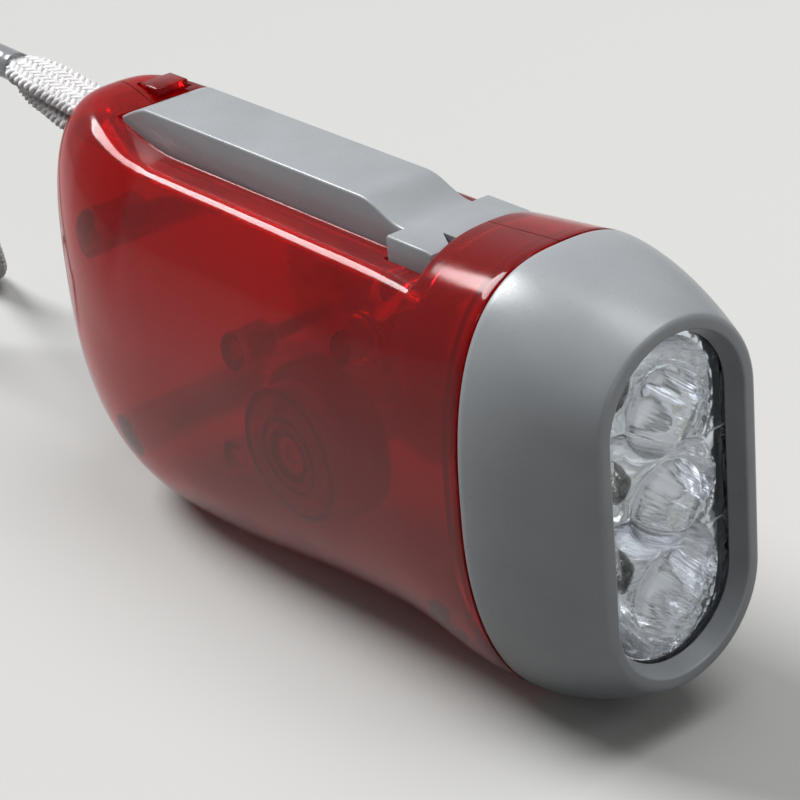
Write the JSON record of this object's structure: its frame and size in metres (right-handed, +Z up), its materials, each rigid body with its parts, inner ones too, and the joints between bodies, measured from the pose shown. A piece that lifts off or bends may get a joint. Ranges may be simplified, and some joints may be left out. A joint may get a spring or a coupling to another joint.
{
  "type": "squeeze dynamo flashlight",
  "caption": "Hand torch charged by squeezing a lever: clear red grip shells over a gear train and dynamo, grey head with lamps in a reflector, wrist strap.",
  "frame": {"origin": "middle of the body's footprint, on the surface it stands on", "axes": "+X along the beam, towards the window; +Y to the left seen from behind; +Z up, towards the lever"},
  "size_m": [0.2002, 0.0348, 0.0571],
  "materials": {
    "red_clear": "polished clear red polystyrene",
    "grey_plastic": "satin moulded ABS",
    "clear_window": "polished clear polystyrene window",
    "reflector_chrome": "vacuum metallised plastic",
    "lamp_epoxy": "clear cast epoxy",
    "board_laminate": "green solder mask",
    "black_plastic": "moulded black plastic",
    "steel": "plated steel",
    "gear_plastic": "natural acetal",
    "magnet_ferrite": "ground ferrite",
    "bush_bronze": "sintered bronze",
    "copper_wire": "enamelled copper wire",
    "red_sleeving": "soft vinyl",
    "black_sleeving": "soft vinyl",
    "white_braid": "braided polyester cord",
    "grey_clear": "clear grey vinyl tube"
  },
  "bodies": {
    "frame": {"shell_right": "red_clear", "shell_left": "red_clear", "head_bezel": "grey_plastic", "front_lens": "clear_window", "reflector": "reflector_chrome", "led_top": "lamp_epoxy", "led_middle": "lamp_epoxy", "led_bottom": "lamp_epoxy", "led_board": "board_laminate", "board_screw_upper": "steel", "board_screw_lower": "steel", "bridge_rectifier": "black_plastic", "lever_pin": "steel", "lever_spring": "steel", "first_axle": "steel", "second_axle": "steel", "rotor_bush_right": "bush_bronze", "rotor_bush_left": "bush_bronze", "stator_cup_inner": "steel", "stator_cup_outer": "steel", "coil_bobbin": "gear_plastic", "coil_winding": "copper_wire", "lead_wire_red": "red_sleeving", "lead_wire_black": "black_sleeving", "shell_screw_front": "steel", "shell_screw_lower": "steel", "shell_screw_upper": "steel", "strap_knot": "white_braid", "strap_cord": "white_braid", "strap_sleeve": "grey_clear"},
    "lever": {"squeeze_lever": "grey_plastic"},
    "first_wheel": {"first_gear": "gear_plastic"},
    "second_wheel": {"second_gear": "gear_plastic"},
    "rotor": {"flywheel": "black_plastic", "rotor_shaft": "steel", "rotor_magnet": "magnet_ferrite"},
    "slide": {"lock_slider": "red_clear"}
  },
  "joints": [
    {"name": "lever_hinge", "type": "hinge", "parent": "frame", "child": "lever", "pos_m": [0.0198, 0, 0.0492], "axis": [0, 1, 0], "range_deg": [0, 22], "deforming": ["lever_spring"]},
    {"name": "first_gear_spin", "type": "hinge", "parent": "frame", "child": "first_wheel", "pos_m": [-0.00679, 0, 0.03506], "axis": [0, 1, 0], "range_deg": [-110, 0]},
    {"name": "second_gear_spin", "type": "hinge", "parent": "frame", "child": "second_wheel", "pos_m": [-0.00884, 0, 0.01967], "axis": [0, 1, 0], "range_deg": [0, 374]},
    {"name": "rotor_spin", "type": "hinge", "parent": "frame", "child": "rotor", "pos_m": [0.0034, 0, 0.0244], "axis": [0, 1, 0], "range_deg": [-1122, 0]},
    {"name": "lock_slide", "type": "slide", "parent": "frame", "child": "slide", "axis": [0, 1, 0], "range_m": [0, 0.003]}
  ],
  "couplings": [
    {"joint": "first_gear_spin", "follows": "lever_hinge", "ratio": -5},
    {"joint": "second_gear_spin", "follows": "lever_hinge", "ratio": 17},
    {"joint": "rotor_spin", "follows": "lever_hinge", "ratio": -51}
  ]
}
